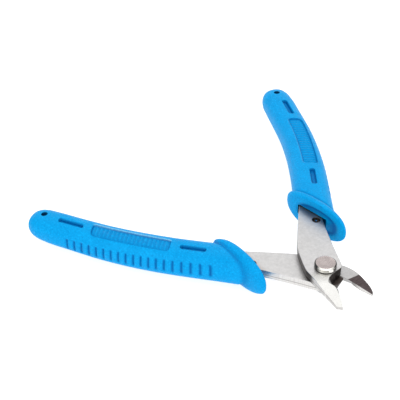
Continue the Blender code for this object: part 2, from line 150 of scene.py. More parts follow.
# The lip's front face, inwards last to first: (share of the first ring, share of the dish, how much shade
# is painted)
LIP_FRONT = ((0.78, 1.0, 1.0), (0.82, 0.8, 0.9), (0.88, 0.0, 0.4), (0.95, 0.0, 0.1))
CREASE = (34.6, 0.9)    # the furrow behind the lip, and its half width, where a line of shade is painted
POCKET_CLEARANCE = 0.12
MOUTH_CLEARANCE = 0.35  # the pocket opens wider at the lip, widest on the outer side
MOUTH_OUTER_CLEARANCE = 1.1
MOUTH_START = 14.0
MOUTH_ENDS = (27.7, 37.9)   # how deep it reaches on the outer and the inner side
MARK_OFFSET = 0.8
SLOTS = ((42.8, 52.2), (89.4, 99.2))
SLOT_HALF_WIDTH = 1.0
SLOT_CORNER = 0.8
SLOT_DEPTH = 1.2
PANEL = (56.0, 85.8)
PANEL_HALF_WIDTH = 2.8
PANEL_DEPTH = 0.7
PANEL_CORNER = 1.3
PANEL_RIM_HIGHLIGHT = {1: 0.15, -1: 1.0}   # painted highlight on the panel's inner rim, strongest on the lower grip
RIDGE_PITCH = 1.55
RIDGE_HEIGHT = 0.3
GROOVES = 19
GROOVE_FIRST = 43.2
GROOVE_PITCH = 2.78
GROOVE_SPREAD = 0.34    # half width of a groove where it is half as deep
GROOVE_DEPTH = 0.5
GROOVE_Z = (-3.4, 2.3)
GROOVE_LIFT = 1.7       # the row climbs this much from its far end to the lip
FACE_REACH = 4.6        # the part of a ring's top and bottom that is divided evenly, each way
FACE_STEP = 0.23
OUTER_COLUMNS = 30
INNER_COLUMNS = 18
END_HOLE = (105.6, 1.0, 1.6)    # along, radius, depth

# Camera, from the pivot, looking at a point between the handles
VIEW_AZIMUTH = 49.35
VIEW_ELEVATION = 38.16
VIEW_ROLL = 0.31
VIEW_DISTANCE = 528.6
VIEW_TARGET = (-60.67, -6.36)
LENS = 126.0

# Steels: base colours, and (dark, light) for the ground faces
BLASTED_TONE = (0.515, 0.507, 0.503)
BEVEL_TONES = ((0.34, 0.337, 0.327), (0.48, 0.476, 0.46))
# the lower jaw's shear face is painted near black, a painted dark reflection
SHEAR_FACE_DARK_REFLECTION_TONES = ((0.035, 0.026, 0.026), (0.09, 0.072, 0.073))
HEAD_TONE = (0.41, 0.36, 0.35)
RIM_TONE = (0.88, 0.86, 0.80)
# painted shade at the foot of the bolt's head, where it sits on the upper blade
GAP_PAINTED_SHADE = (0.10, 0.09, 0.085)
PLAIN_TONE = (0.50, 0.50, 0.50)
WIRE_TONE = (0.80, 0.79, 0.77)
CORE_SHADE = 0.35       # painted shade: the plastic inside pockets and holes is this much of the skin's colour

# Blues of the grips: pitted, body, body where it is paler, grain tops, the painted highlight on the panel's
# rim, and the painted shade deep in a mark
GRIP_TONES = ((0.000, 0.210, 0.52), (0.000, 0.280, 0.64), (0.001, 0.310, 0.69), (0.004, 0.42, 0.86),
              (0.35, 0.80, 1.0), (0.000, 0.080, 0.30))

# Studio
FLOOR_GLOW = 0.80
SKY = (1.20, 1.60)      # strength of the white surroundings: overhead and behind, and in front
FRONT_LOW = 14.0        # elevation of the brightest place
SIDE_FLAGS = (0.60, 0.90, 0.45)     # grey flags at both sides: where they begin, are full, what they pass
# (name, azimuth from the camera's, elevation, distance, diameter, power) of each lamp
LAMPS = (("overhead", 165, 62, 1.2, 0.5, 1.2), ("front", -35, 35, 1.3, 0.6, 1.0))
FLOOR_HALF = 3.0
FLOOR_DROP = 0.0002     # metres under the object


# ---------------------------------------------------------------- shapes

def side_points(side, along, out, z):
    """Points of an arm in the row frame, in metres, as rows."""
    along, out, z = np.broadcast_arrays(*(np.asarray(v, float) for v in (along, out, z)))
    angle = math.radians(180 - side * OPEN_HALF_ANGLE)
    x = along * math.cos(angle) + side * out * math.sin(angle)
    y = along * math.sin(angle) - side * out * math.cos(angle)
    return np.stack([x, y, z], axis=-1) * MM + np.array((PIVOT.x, PIVOT.y, 0.0))


def arm_places(side, points):
    """(along, out) of row-frame points in metres: side_points the other way round."""
    local = (np.asarray(points, float)[:, :2] - np.array((PIVOT.x, PIVOT.y))) / MM
    angle = math.radians(180 - side * OPEN_HALF_ANGLE)
    along = local[:, 0] * math.cos(angle) + local[:, 1] * math.sin(angle)
    out = side * (local[:, 0] * math.sin(angle) - local[:, 1] * math.cos(angle))
    return along, out


def smooth_through(points, count):
    """Points of a smooth curve through the given ones, count steps to each gap."""
    known = np.array(points, float)
    ends = np.vstack([2 * known[0] - known[1], known, 2 * known[-1] - known[-2]])
    found = []
    for i in range(len(known) - 1):
        a, b, c, d = ends[i:i + 4]
        for k in range(count):
            u = k / count
            found.append(0.5 * (2 * b + (c - a) * u + (2 * a - 5 * b + 4 * c - d) * u * u
                                + (3 * b - a - 3 * c + d) * u ** 3))
    found.append(known[-1])
    return [tuple(p) for p in found]


def smoothstep(low, high, value):
    u = np.clip((value - low) / (high - low), 0, 1)
    return u * u * (3 - 2 * u)


def mesh_object(name, points, faces, materials=()):
    mesh = bpy.data.meshes.new(name)
    mesh.from_pydata([tuple(p) for p in points], [], faces)
    mesh.update()
    thing = bpy.data.objects.new(name, mesh)
    bpy.context.scene.collection.objects.link(thing)
    for material in materials:
        mesh.materials.append(material)
    return thing


def loft_faces(rings, count):
    """Faces of a closed body through rings of equal size, flat at both ends."""
    faces = []
    for r in range(rings - 1):
        for k in range(count):
            j = (k + 1) % count
            faces.append((r * count + k, r * count + j, (r + 1) * count + j, (r + 1) * count + k))
    faces.append(tuple(range(count))[::-1])
    faces.append(tuple(range((rings - 1) * count, rings * count)))
    return faces


def face_outwards(thing):
    body = bmesh.new()
    body.from_mesh(thing.data)
    bmesh.ops.recalc_face_normals(body, faces=body.faces[:])
    body.to_mesh(thing.data)
    body.free()
    return thing


def loft(name, rings, materials=()):
    count = len(rings[0])
    points = np.concatenate([np.asarray(ring, float) for ring in rings])
    return face_outwards(mesh_object(name, points, loft_faces(len(rings), count), materials))


def turned(name, profile, materials=(), segments=96):
    """A solid of revolution on the pivot axis from (radius, z) points, in millimetres."""
    turns = 2 * np.pi * np.arange(segments) / segments
    rings = []
    for radius, z in profile:
        rings.append(np.stack([radius * MM * np.cos(turns) + PIVOT.x,
                               radius * MM * np.sin(turns) + PIVOT.y,
                               np.full(segments, z * MM)], axis=-1))
    return loft(name, rings, materials)


def hole_cutter(side, along, out, radius, low, high, flare, material, segments=64):
    """A drill with a small countersink at both faces of a plate."""
    turns = 2 * np.pi * np.arange(segments) / segments
    profile = ((radius + flare + 1, low - 1), (radius + flare, low), (radius, low + flare),
               (radius, high - flare), (radius + flare, high), (radius + flare + 1, high + 1))
    rings = [side_points(side, along + r * np.cos(turns), out + r * np.sin(turns), z)
             for r, z in profile]
    return loft("drill", rings, [material])


def facet_cutter(side, line, slope, top, sign, material):
    """A wedge beyond a line (along, out, direction of fall): what a grinding wheel takes off."""
    along, out, fall = line
    fall = math.radians(fall)
    reach = 40.0
    rings = []
    for distance in (0.0, reach):
        surface = top - sign * slope * distance
        far = top + sign * 8.0
        across = np.array((-reach, reach, reach, -reach))
        z = np.array((surface, surface, far, far))
        rings.append(side_points(side, along - math.cos(fall) * distance + math.sin(fall) * across,
                                 out + math.sin(fall) * distance + math.cos(fall) * across, z))
    return loft("wheel", rings, [material])


def carve(thing, cutters):
    """Takes the cutters off for good; the faces that they leave have the cutters' materials."""
    for cutter in cutters:
        step = thing.modifiers.new("carve", "BOOLEAN")
        step.operation = "DIFFERENCE"
        step.solver = "EXACT"
        step.material_mode = "TRANSFER"
        step.object = cutter
    bpy.context.view_layer.update()
    graph = bpy.context.evaluated_depsgraph_get()
    carved = bpy.data.meshes.new_from_object(thing.evaluated_get(graph))
    thing.modifiers.clear()
    thing.data = carved
    for cutter in cutters:
        bpy.data.objects.remove(cutter, do_unlink=True)
    return thing


def shade(thing, degrees):
    """Smooth shading, broken along edges sharper than this."""
    body = bmesh.new()
    body.from_mesh(thing.data)
    limit = math.radians(degrees)
    for face in body.faces:
        face.smooth = True
    for edge in body.edges:
        edge.smooth = edge.is_manifold and edge.calc_face_angle(math.pi) < limit
    body.to_mesh(thing.data)
    body.free()
    return thing


def weigh_normals(thing):
    step = thing.modifiers.new("weighted_normals", "WEIGHTED_NORMAL")
    step.keep_sharp = True
    step.weight = 100
    return thing


# ---------------------------------------------------------------- materials

class Nodes:
    """A short way to write a material's node tree."""

    def __init__(self, name):
        self.material = bpy.data.materials.new(name)
        self.material.use_nodes = True
        self.tree = self.material.node_tree
        self.shader = self.tree.nodes["Principled BSDF"]

    def add(self, kind, **settings):
        node = self.tree.nodes.new(kind)
        for key, value in settings.items():
            setattr(node, key, value)
        return node

    def link(self, source, target):
        self.tree.links.new(source, target)

    def place(self, scale=(1, 1, 1), turn=0.0):
        """Object coordinates, stretched and turned about the vertical."""
        mapping = self.add("ShaderNodeMapping")
        mapping.inputs["Scale"].default_value = scale
        mapping.inputs["Rotation"].default_value = (0, 0, turn)
        self.link(self.add("ShaderNodeTexCoord").outputs["Object"], mapping.inputs["Vector"])
        return mapping.outputs["Vector"]

    def noise(self, where, scale, detail=4.0, roughness=0.55):
        node = self.add("ShaderNodeTexNoise")
        node.inputs["Scale"].default_value = scale
        node.inputs["Detail"].default_value = detail
        node.inputs["Roughness"].default_value = roughness
        self.link(where, node.inputs["Vector"])
        return node.outputs["Fac"]

    def spread(self, value, low, high, out_low=0.0, out_high=1.0):
        node = self.add("ShaderNodeMapRange")
        for key, number in (("From Min", low), ("From Max", high), ("To Min", out_low),
                            ("To Max", out_high)):
            node.inputs[key].default_value = number
        self.link(value, node.inputs["Value"])
        return node.outputs["Result"]

    def math(self, operation, first, second=0.0):
        node = self.add("ShaderNodeMath", operation=operation)
        for socket, value in zip(node.inputs, (first, second)):
            if isinstance(value, (int, float)):
                socket.default_value = value
            else:
                self.link(value, socket)
        return node.outputs[0]

    def mix(self, factor, first, second):
        node = self.add("ShaderNodeMix", data_type="RGBA")
        self.link(factor, node.inputs["Factor"])
        for socket, value in ((node.inputs[6], first), (node.inputs[7], second)):
            if isinstance(value, tuple):
                socket.default_value = (*value, 1.0)
            else:
                self.link(value, socket)
        return node.outputs[2]

    def attribute(self, name):
        return self.add("ShaderNodeAttribute", attribute_name=name).outputs["Fac"]

    def height(self):
        split = self.add("ShaderNodeSeparateXYZ")
        self.link(self.add("ShaderNodeTexCoord").outputs["Object"], split.inputs[0])
        return split.outputs["Z"]

    def bump(self, height, strength, distance, under=None):
        node = self.add("ShaderNodeBump")
        node.inputs["Strength"].default_value = strength
        node.inputs["Distance"].default_value = distance
        self.link(height, node.inputs["Height"])
        if under:
            self.link(under, node.inputs["Normal"])
        return node.outputs["Normal"]

    def finish(self, color, roughness, normal, metallic=1.0, specular=0.5):
        self.link(color, self.shader.inputs["Base Color"])
        self.link(roughness, self.shader.inputs["Roughness"])
        self.link(normal, self.shader.inputs["Normal"])
        self.shader.inputs["Metallic"].default_value = metallic
        self.shader.inputs["Specular IOR Level"].default_value = specular
        return self.material


def blasted_steel(name, tone, side, corner=None):
    """Stamped plate, tumbled and bead-blasted: a satin grey with a fine mottle, a few marks and a painted
    shadow of the grip's lip beside the grip. The corner, if given, is a place in metres round which shade
    is painted."""
    n = Nodes(name)
    where = n.place()
    cloud = n.noise(where, 850.0, 5.0, 0.65)
    grain = n.noise(where, 5200.0, 2.0)
    scratch = n.noise(n.place((260.0, 9000.0, 900.0), math.radians(38)), 1.0, 2.0)
    color = n.mix(n.spread(cloud, 0.35, 0.65), tuple(0.89 * c for c in tone),
                  tuple(1.04 * c for c in tone))
    color = n.mix(n.spread(scratch, 0.68, 0.78, 0.0, 0.35), color, tuple(0.8 * c for c in tone))
    lip = np.array((1.0, math.tan(math.radians(GRIP_STATIONS[0, 4]))))
    origin = side_points(side, 0, 0, 0)
    across = ((side_points(side, 1, 0, 0) - origin) * lip[0]
              + (side_points(side, 0, 1, 0) - origin) * lip[1])
    near = n.add("ShaderNodeVectorMath", operation="DOT_PRODUCT")
    n.link(n.add("ShaderNodeTexCoord").outputs["Object"], near.inputs[0])
    near.inputs[1].default_value = tuple(across / MM)
    start = float(origin @ across) / MM + GRIP_STATIONS[0, 0] * MM
    # painted shadow that the grip's lip casts on the plate in front of it
    lip_shadow = n.spread(near.outputs["Value"], start - LIP_PAINTED_SHADOW * MM, start, 0.0, 0.75)
    color = n.mix(lip_shadow, color, (0.25, 0.185, 0.145))
    if corner is not None:
        # painted shade round the lower blade's throat corner: a faint wide ring, then dark within
        away = n.add("ShaderNodeVectorMath", operation="DISTANCE")
        n.link(n.add("ShaderNodeTexCoord").outputs["Object"], away.inputs[0])
        away.inputs[1].default_value = corner
        within, beyond = (v * MM for v in THROAT_SHADE[2:])
        faint_shade = n.spread(away.outputs["Value"], THROAT_FAINT_SHADE[1] * beyond, THROAT_FAINT_SHADE[0] * beyond, 0.0, 0.24)
        color = n.mix(faint_shade, color, (0.05, 0.05, 0.05))
        color = n.mix(n.spread(away.outputs["Value"], beyond, within), color, (0.05, 0.04, 0.036))
    roughness = n.spread(grain, 0.3, 0.7, 0.34, 0.46)
    normal = n.bump(grain, 0.35, 0.00002, n.bump(cloud, 0.15, 0.00008))
    return n.finish(color, roughness, normal)


def sheared_steel(name, low, high):
    """The wall that the punch leaves: a burnished band, a dark shear line and a rough break below it.
    A point attribute paints shade on these walls: the inner edge beside the pivot, the throat, the spring
    hole and the upper jaw's back."""
    n = Nodes(name)
    height = n.height()
    share = n.spread(height, low * MM, high * MM)
    drag = n.noise(n.place((2200.0, 2200.0, 160.0)), 1.0, 3.0)
    rough = n.noise(n.place(), 3600.0, 4.0)
    bright = n.mix(n.spread(drag, 0.3, 0.7), (0.58, 0.565, 0.555), (0.72, 0.71, 0.69))
    line = n.math("MULTIPLY", n.spread(share, 0.33, 0.37), n.spread(share, 0.46, 0.42))
    bright = n.mix(line, bright, (0.30, 0.28, 0.27))
    # the colour of the painted shade on the walls
    dark = n.mix(n.spread(drag, 0.3, 0.7), (0.025, 0.020, 0.018), (0.09, 0.080, 0.076))
    color = n.mix(n.attribute("wall_painted_shade"), bright, dark)
    roughness = n.spread(rough, 0.3, 0.7, 0.26, 0.42)
    normal = n.bump(drag, 0.4, 0.00003, n.bump(rough, 0.2, 0.00002))
    return n.finish(color, roughness, normal)


def ground_steel(name, dark_tone, light_tone, turn, roughness):
    """A face off the grinding wheel: fine straight lines across the jaw."""
    n = Nodes(name)
    lines = n.noise(n.place((9000.0, 240.0, 240.0), turn), 1.0, 3.0)
    cloud = n.noise(n.place(), 420.0, 3.0)
    color = n.mix(n.spread(lines, 0.3, 0.7), dark_tone, light_tone)
    color = n.mix(n.spread(cloud, 0.45, 0.75, 0.0, 0.35), color, light_tone)
    rough = n.spread(lines, 0.3, 0.7, roughness - 0.05, roughness + 0.07)
    return n.finish(color, rough, n.bump(lines, 0.35, 0.00002))


def turned_steel(name, tone, roughness, dark_sides=None):
    """Lathe-turned metal: faint rings round the pivot axis and a slow change of tone round them. The last
    argument, if given, is the angle round the axis at which, and opposite which, a dark reflection is
    painted."""
    n = Nodes(name)
    shift = n.add("ShaderNodeVectorMath", operation="SUBTRACT")
    n.link(n.add("ShaderNodeTexCoord").outputs["Object"], shift.inputs[0])
    shift.inputs[1].default_value = (PIVOT.x, PIVOT.y, 0.0)
    split = n.add("ShaderNodeSeparateXYZ")
    n.link(shift.outputs[0], split.inputs[0])
    radius = n.math("SQRT", n.math("ADD", n.math("POWER", split.outputs["X"], 2.0),
                                   n.math("POWER", split.outputs["Y"], 2.0)))
    angle = n.math("ARCTAN2", split.outputs["Y"], split.outputs["X"])
    polar = n.add("ShaderNodeCombineXYZ")
    n.link(n.math("MULTIPLY", radius, 5200.0), polar.inputs[0])
    n.link(n.math("SINE", angle), polar.inputs[1])
    n.link(n.math("MULTIPLY", split.outputs["Z"], 4200.0), polar.inputs[2])
    rings = n.noise(polar.outputs[0], 1.0, 3.0)
    cloud = n.noise(n.place(), 330.0, 3.0)
    color = n.mix(n.spread(rings, 0.3, 0.7), tuple(0.78 * c for c in tone), tone)
    color = n.mix(n.spread(cloud, 0.4, 0.7, 0.0, 0.5), color, tuple(min(1.0, 1.2 * c) for c in tone))
    if dark_sides is not None:
        # painted dark reflection at the given angle round the axis and opposite it
        turn = n.math("ABSOLUTE", n.math("COSINE", n.math("SUBTRACT", angle, dark_sides)))
        color = n.mix(n.spread(turn, 0.58, 0.84), color, tuple(0.08 * c for c in tone))
    rough = n.spread(cloud, 0.3, 0.7, roughness - 0.04, roughness + 0.06)
    return n.finish(color, rough, n.bump(rings, 0.5, 0.00003))


def grip_plastic(name, depth=1.0):
    """Bright blue moulded plastic with a spark-eroded texture, with shade painted down in its marks and
    grooves and a highlight painted on a moulded rim. A depth below 1 darkens all of it with painted shade,
    for the insides."""
    n = Nodes(name)
    where = n.place()
    grain = n.noise(where, 1700.0, 3.0, 0.65)
    fine = n.noise(where, 6000.0, 2.0)
    cloud = n.noise(where, 120.0, 3.0)
    tones = [tuple(depth * c for c in tone) for tone in GRIP_TONES]
    color = n.mix(n.spread(cloud, 0.3, 0.7), tones[1], tones[2])
    color = n.mix(n.spread(grain, 0.54, 0.70, 0.0, 0.8), color, tones[3])
    color = n.mix(n.spread(grain, 0.46, 0.30, 0.0, 0.8), color, tones[0])
    # painted highlight on the panel's inner rim
    color = n.mix(n.math("MULTIPLY", n.attribute("rim_highlight"), n.spread(grain, 0.3, 0.6, 0.35, 0.9)), color,
                  tones[4])
    # painted shade in the marks, the grooves, the crease behind the lip and the lip's front face
    color = n.mix(n.spread(n.attribute("recess_shade"), 0.0, 1.0, 0.0, 0.85), color, tones[5])
    roughness = n.spread(fine, 0.3, 0.7, 0.32, 0.46)
    normal = n.bump(fine, 0.3, 0.00003, n.bump(grain, 0.6, 0.00010))
    return n.finish(color, roughness, normal, metallic=0.0, specular=0.05)


def floor_paper(name):
    n = Nodes(name)
    cloud = n.noise(n.place(), 3.0, 2.0)
    color = n.mix(n.spread(cloud, 0.3, 0.7), (0.40, 0.40, 0.40), (0.43, 0.43, 0.43))
    roughness = n.spread(cloud, 0.3, 0.7, 0.75, 0.85)
    n.shader.inputs["Emission Color"].default_value = (1.0, 1.0, 1.0, 1.0)
    n.shader.inputs["Emission Strength"].default_value = FLOOR_GLOW
    return n.finish(color, roughness, n.bump(cloud, 0.02, 0.0005), metallic=0.0, specular=0.1)


# ---------------------------------------------------------------- blades

def stations(along):
    """Cross-sections of a grip at these distances: out, half width, half height, slant, as rows."""
    s = GRIP_STATIONS[:, 0]
    values = GRIP_STATIONS[:, 1:]
    slopes = np.gradient(values, s, axis=0)
    along = np.atleast_1d(np.asarray(along, float))
    i = np.clip(np.searchsorted(s, along) - 1, 0, len(s) - 2)
    h = (s[i + 1] - s[i])[:, None]
    u = ((along - s[i]) / (s[i + 1] - s[i]))[:, None]
    return ((2 * u ** 3 - 3 * u ** 2 + 1) * values[i] + (u ** 3 - 2 * u ** 2 + u) * h * slopes[i]
            + (3 * u ** 2 - 2 * u ** 3) * values[i + 1] + (u ** 3 - u ** 2) * h * slopes[i + 1])


def tang_outline(clearance):
    """The part of a blade inside its grip: outer side, nose, and inner side back."""
    along = np.linspace(TANG_START, TANG_END - 3.0, 9)
    middle = stations(along)[:, 0]
    share = (along - TANG_START) / (TANG_END - TANG_START)
    half = 3.5 - 0.9 * share + clearance
    shift = -0.4 * (1 - share)
    end = stations(TANG_END)[0, 0]
    nose = [(TANG_END - 0.9 + clearance, end + 1.7), (TANG_END + clearance, end),
            (TANG_END - 0.9 + clearance, end - 1.7)]
    outer = list(zip(along, middle + shift + half))
    inner = list(zip(along, middle + shift - half))
    return outer, nose, inner[::-1]


def edge_point(side, along):
    """Where the cutting edge is at this distance ahead of the pivot."""
    tip = TIP[side]
    at = math.atan2(tip[1], -tip[0])
    turn = math.asin(CUT_LINE_OFFSET / math.hypot(*tip))
    lean = at - side * turn
    step = (-tip[0] - along) / math.cos(lean)
    return (-along, tip[1] - step * math.sin(lean))


def blade_outline(side):
    """(along, out) round a blade; for each point, how far its wall follows the rolled profile, and how
    far it leans back from the cutting edge."""
    outer, nose, inner = tang_outline(0.0)
    body = smooth_through(ARM_OUTER[:-1], 9) + outer + nose + inner
    body += smooth_through(ARM_INNER[1:] + JAW_BACK[side], 9)
    edge = [edge_point(side, a) for a in np.linspace(-TIP[side][0], EDGE_KNEE, EDGE_STEPS)]
    throat = smooth_through(THROAT[side], 4)
    follow = [1.0] * (len(body) - 1) + [0.3] + [0.0] * EDGE_STEPS + [0.3] * len(throat)
    lean = [0.0] * len(body) + list(0.1 + 0.9 * np.linspace(0, 1, EDGE_STEPS) ** 2)
    lean += list(np.linspace(0.9, 0.3, len(throat)))
    return np.array(body + edge + throat), np.array(follow), EDGE_LEAN[side] * np.array(lean)


def inset_directions(outline):
    """For each point, the direction into the outline that moves both its edges in by one."""
    after = np.roll(outline, -1, axis=0) - outline
    after /= np.linalg.norm(after, axis=1)[:, None]
    before = np.roll(after, 1, axis=0)
    area = np.sum(outline[:, 0] * np.roll(outline[:, 1], -1) - np.roll(outline[:, 0], -1) * outline[:, 1])
    turn = 1.0 if area > 0 else -1.0
    first = turn * np.stack([-before[:, 1], before[:, 0]], axis=1)
    second = turn * np.stack([-after[:, 1], after[:, 0]], axis=1)
    middle = first + second
    return middle / np.maximum(np.sum(middle * first, axis=1), 0.5)[:, None]


def painted_shade_on_walls(side, points):
    """0 where a wall is left bright, 1 where it is painted in full shade: the inner edge beside the pivot,
    the throat, the spring hole and the upper jaw's back.
    """
    along, out = arm_places(side, points)
    inner = smoothstep(-3.0, -4.6, out) * smoothstep(-6.4, -4.2, along) * smoothstep(17.0, 13.0, along)
    throat = smoothstep(-13.0, -10.0, along) * smoothstep(1.5, -0.5, along) * smoothstep(-1.5, 0.0, out)
    hole = np.hypot(along - SPRING_HOLE[0], out - SPRING_HOLE[1]) < SPRING_HOLE[2] + 0.3
    jaw = JAW_BACK_PAINTED_SHADE * smoothstep(-4.0, -7.0, along) if side > 0 else 0.0
    return np.clip(inner + throat + hole + jaw * (throat == 0), 0, 1)


def make_blade(side, materials):
    top, wall, bevel_face, shear_face = materials
    low, high = PLATE[side]
    outline, follow, lean = blade_outline(side)
    inwards = inset_directions(outline)
    rings = []
    for inset, share in WALL_PROFILE:
        away_from_edge = share if side > 0 else 1 - share
        edge = outline + inwards * (inset * follow + lean * away_from_edge)[:, None]
        rings.append(side_points(side, edge[:, 0], edge[:, 1], low + share * (high - low)))
    blade = loft(WORD[side] + "_blade_plate", rings, [top, wall])
    for polygon in blade.data.polygons:
        polygon.material_index = 1 if abs(polygon.normal.z) < WALL_TILT else 0
    away = high if side > 0 else low
    along, out, radius = SPRING_HOLE
    cutters = [hole_cutter(side, 0, 0, BORE_R, low, high, 0.12, wall),
               hole_cutter(side, along, out, radius, low, high, 0.15, wall),
               facet_cutter(side, JAW_BEVEL_LINE, JAW_BEVEL_SLOPE, away, side, bevel_face)]
    for behind, share in BEVEL_BLEND:
        line = (JAW_BEVEL_LINE[0] + behind, *JAW_BEVEL_LINE[1:])
        cutters.append(facet_cutter(side, line, share * JAW_BEVEL_SLOPE, away, side, bevel_face))
    if side < 0:
        cutters.append(facet_cutter(side, SHEAR_FACE_LINE, SHEAR_FACE_SLOPE, high, 1, shear_face))
    carve(blade, cutters)
    places = np.array([tuple(v.co) for v in blade.data.vertices])
    # painted shade on the walls
    tone = blade.data.attributes.new("wall_painted_shade", "FLOAT", "POINT")
    tone.data.foreach_set("value", painted_shade_on_walls(side, places).astype(np.float32))
    shade(blade, 34)
    weigh_normals(blade)
    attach(blade, WORD[side] + "_half")
    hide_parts(WORD[side] + "_blade")


# ---------------------------------------------------------------- pivot and spring

def make_pivot(steel_head, steel_rim, steel_gap_shade, steel_plain):
    """The bolt with its turned head, and the washer and nut under the blades."""
    crown = [(0.15 + (HEAD_R - HEAD_ROLL - 0.3) * k / HEAD_RINGS, HEAD_TOP - 0.03 * (k % 2))
             for k in range(HEAD_RINGS + 1)]
    roll = [(HEAD_R - HEAD_ROLL * (1 - math.sin(a)), HEAD_TOP - HEAD_ROLL * (1 - math.cos(a)))
            for a in np.linspace(0, math.pi / 2, 8)]
    shank = [(HEAD_R, HEAD_UNDER + 0.2), (HEAD_R - 0.2, HEAD_UNDER), (SHANK_R, HEAD_UNDER),
             (SHANK_R, SHOULDER_END + 0.1), (SHANK_R - 0.1, SHOULDER_END), (THREAD_R, SHOULDER_END)]
    thread = []
    for k in range(int((SHOULDER_END - BOLT_END) / THREAD_PITCH)):
        z = SHOULDER_END - 0.1 - THREAD_PITCH * k
        thread += [(THREAD_R, z), (THREAD_R - THREAD_DEPTH, z - THREAD_PITCH / 2)]
    tail = [(THREAD_R - 0.05, BOLT_END + 0.25), (THREAD_R - 0.3, BOLT_END)]
    bolt = turned("pivot_bolt_turned", crown + roll + shank + thread + tail,
                  [steel_head, steel_rim, steel_gap_shade])
    for polygon in bolt.data.polygons:
        z = polygon.center.z / MM
        # the foot of the head and the shank under it take the painted shade
        if z < HEAD_UNDER + 0.2:
            polygon.material_index = 2
        elif z < HEAD_TOP - 0.03 and math.hypot(polygon.center.x - PIVOT.x, polygon.center.y) > 3.2 * MM:
            polygon.material_index = 1
        if z < SHOULDER_END:
            polygon.material_index = 0
    long, wide, deep = DRIVER_SLOT
    slot = [np.array([(x * MM + PIVOT.x, y * MM + PIVOT.y, z * MM) for x, y in
                      ((-long, -wide), (long, -wide), (long, wide), (-long, wide))])
            for z in (BOLT_END - 1, BOLT_END + deep)]
    carve(bolt, [loft("saw", slot, [steel_head])])
    washer = turned("pivot_washer_plain", [(WASHER_R - 0.1, WASHER[0]), (WASHER_R, WASHER[0] + 0.1),
                                           (WASHER_R, WASHER[1] - 0.06), (WASHER_R - 0.06, WASHER[1])],
                    [steel_plain])
    carve(washer, [turned("punch", [(THREAD_R + 0.12, -2), (THREAD_R + 0.12, 9)], [steel_plain])])
    nut = turned("pivot_nut_hexagon", [(NUT_R - 0.45, NUT[0]), (NUT_R - 0.2, NUT[0] + 0.1),
                                       (NUT_R, NUT[0] + 0.3), (NUT_R, NUT[1] - 0.12),
                                       (NUT_R - 0.12, NUT[1])], [steel_plain])
    ring = turned("ring", [(NUT_R + 5, NUT[0] - 1), (NUT_R + 5, NUT[1] + 1)], [steel_plain], 48)
    carve(ring, [turned("hexagon", [(NUT_R, NUT[0] - 2), (NUT_R, NUT[1] + 2)], [steel_plain], 6)])
    tap = turned("tap", [(NUT_BORE_R + 0.3, NUT[0] - 0.2), (NUT_BORE_R, NUT[0] + 0.15),
                         (NUT_BORE_R, NUT[1] + 2)], [steel_plain])
    carve(nut, [ring, tap])
    for thing, node in ((bolt, "pivot_bolt"), (washer, "pivot_washer"), (nut, "pivot_nut")):
        shade(thing, 30)
        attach(thing, "lower_half")
        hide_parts(node)


def spring_path():
    """The wire's centre line in millimetres from the pivot: upper hook, bend, lower hook."""
    along, out, _ = SPRING_HOLE
    lean = math.acos(COIL_R / math.hypot(along, out))
    start = math.radians(180 - OPEN_HALF_ANGLE) - lean
    here = np.array((PIVOT.x, PIVOT.y, 0.0))
    hooks = []
    for side, plate in PLATE.items():
        hole = (side_points(side, along, out, 0.0) - here) / MM
        touch = np.array((COIL_R * math.cos(start), side * COIL_R * math.sin(start), 0.0))
        towards = (touch - hole) / np.linalg.norm(touch - hole)
        hook = [hole + np.array((0, 0, z)) for z in
                np.linspace(plate[1] - HOOK_BELOW_TOP, SPRING_Z + HOOK_BEND, 8)[:-1]]
        for a in np.linspace(math.pi, math.pi / 2, 9):
            hook.append(hole + towards * HOOK_BEND * (1 + math.cos(a))
                        + np.array((0, 0, SPRING_Z + HOOK_BEND * (1 - math.sin(a)))))
        end = hook[-1]
        for u in np.linspace(0, 1, 24)[1:-1]:
            hook.append(end + (touch + np.array((0, 0, SPRING_Z)) - end) * u)
        hooks.append(hook)
    bend = [np.array((COIL_R * math.cos(a), COIL_R * math.sin(a), SPRING_Z))
            for a in np.linspace(start, -start, 41)]
    return np.array(hooks[0] + bend + hooks[1][::-1])


def make_spring(steel):
    """A round wire swept along its path, with rounded ends, bent round the bolt between the two halves."""
    path = spring_path()
    ahead = np.gradient(path, axis=0)
    ahead /= np.linalg.norm(ahead, axis=1)[:, None]
    sides = 20
    turns = 2 * np.pi * np.arange(sides) / sides
    across = np.cross(ahead[0], (0.0, 1.0, 0.0))
    rings = []
    for k, (point, direction) in enumerate(zip(path, ahead)):
        across = across - direction * (across @ direction)
        across /= np.linalg.norm(across)
        over = np.cross(direction, across)
        end = min(k, len(path) - 1 - k)
        radius = WIRE_R * (0.72 if end == 0 else 1.0)
        ring = point + radius * (np.outer(np.cos(turns), across) + np.outer(np.sin(turns), over))
        rings.append(ring * MM + np.array((PIVOT.x, PIVOT.y, 0.0)))
    wire = shade(loft("return_spring_wire", rings, [steel]), 50)
    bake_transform(wire)
    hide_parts("return_spring")


# ---------------------------------------------------------------- grips

def ring_alongs():
    """Where the grip's rings are: close together at the lip, the marks and the rounded end."""
    lip = GRIP_STATIONS[0, 0] + np.array((0.0, 0.04, 0.1, 0.18, 0.3, 0.45, 0.65, 0.85))
    return np.concatenate([lip, np.arange(29.6, 38.0, 0.3), np.arange(38.0, 100.6, 0.21),
                           np.arange(100.8, 109.0, 0.4), np.arange(109.2, 110.9, 0.15),
                           (110.95, 111.03, 111.1)])


def box_distance(x, y, half_x, half_y, corner):
    """Distance outside a rounded rectangle, negative inside."""
    dx = np.abs(x) - (half_x - corner)
    dy = np.abs(y) - (half_y - corner)
    return np.hypot(np.maximum(dx, 0), np.maximum(dy, 0)) + np.minimum(np.maximum(dx, dy), 0) - corner


